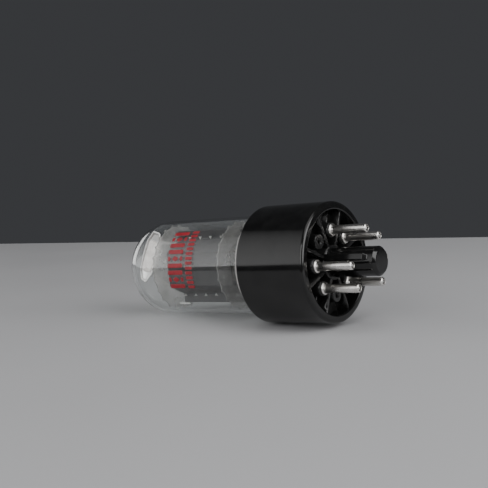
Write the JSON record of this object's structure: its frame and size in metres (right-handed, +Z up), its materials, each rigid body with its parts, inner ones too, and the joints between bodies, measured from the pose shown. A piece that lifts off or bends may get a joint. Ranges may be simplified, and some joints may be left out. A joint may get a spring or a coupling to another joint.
{
  "type": "vacuum tube",
  "caption": "Glass vacuum tube lying on its side, with a domed clear bulb, grey internal electrodes, a black moulded base, plug-in pins and a keyed centre spigot.",
  "frame": {"origin": "on the tube axis, in the plane of the base rim, where the base seats on its socket", "axes": "+X along the axis, out of the base and along the pins; +Z up, with the tube lying on its side and the flat faces of the anode towards -Y and +Y"},
  "size_m": [0.0848, 0.0328, 0.0328],
  "materials": {
    "clear_glass": "clear, glossy",
    "stem_glass": "clear, glossy",
    "black_moulding": "moulded phenolic, semi-gloss",
    "cement": "satin",
    "nickel_pin": "nickel plated, drawn",
    "solder": "dull",
    "lead_wire": "drawn wire",
    "mica": "satin sheet",
    "grey_anode": "carbonised grey, matte",
    "nickel_trim": "satin",
    "copper_rod": "satin",
    "grid_wire": "fine wire",
    "oxide_white": "matte",
    "getter_metal": "satin",
    "getter_fill": "matte powder",
    "red_ink": "fired enamel print",
    "white_ink": "fired enamel print"
  },
  "bodies": {
    "root": {"anode_crimps": "nickel_trim", "anode_front": "grey_anode", "anode_rear": "grey_anode", "anode_rods": "nickel_trim", "anode_tie": "lead_wire", "base_cement": "cement", "base_shell": "black_moulding", "beam_plate_lower": "grey_anode", "beam_plate_upper": "grey_anode", "bottom_mica": "mica", "cathode_coating": "oxide_white", "cathode_sleeve": "nickel_trim", "cathode_tie": "lead_wire", "control_grid_rods": "copper_rod", "control_grid_tie": "lead_wire", "control_grid_wire": "grid_wire", "cooling_tabs": "grey_anode", "exhaust_tube": "stem_glass", "getter_fill": "getter_fill", "getter_pan": "getter_metal", "getter_posts": "nickel_trim", "glass_bulb": "clear_glass", "glass_stem": "stem_glass", "heater": "oxide_white", "heater_ties": "lead_wire", "lead_wire_2": "lead_wire", "lead_wire_3": "lead_wire", "lead_wire_4": "lead_wire", "lead_wire_5": "lead_wire", "lead_wire_7": "lead_wire", "lead_wire_8": "lead_wire", "pin_2": "nickel_pin", "pin_3": "nickel_pin", "pin_4": "nickel_pin", "pin_5": "nickel_pin", "pin_7": "nickel_pin", "pin_8": "nickel_pin", "pin_solder": "solder", "printed_dash": "white_ink", "printed_mark": "red_ink", "screen_grid_rods": "copper_rod", "screen_grid_tie": "lead_wire", "screen_grid_wire": "grid_wire", "top_mica": "mica"}
  },
  "joints": []
}
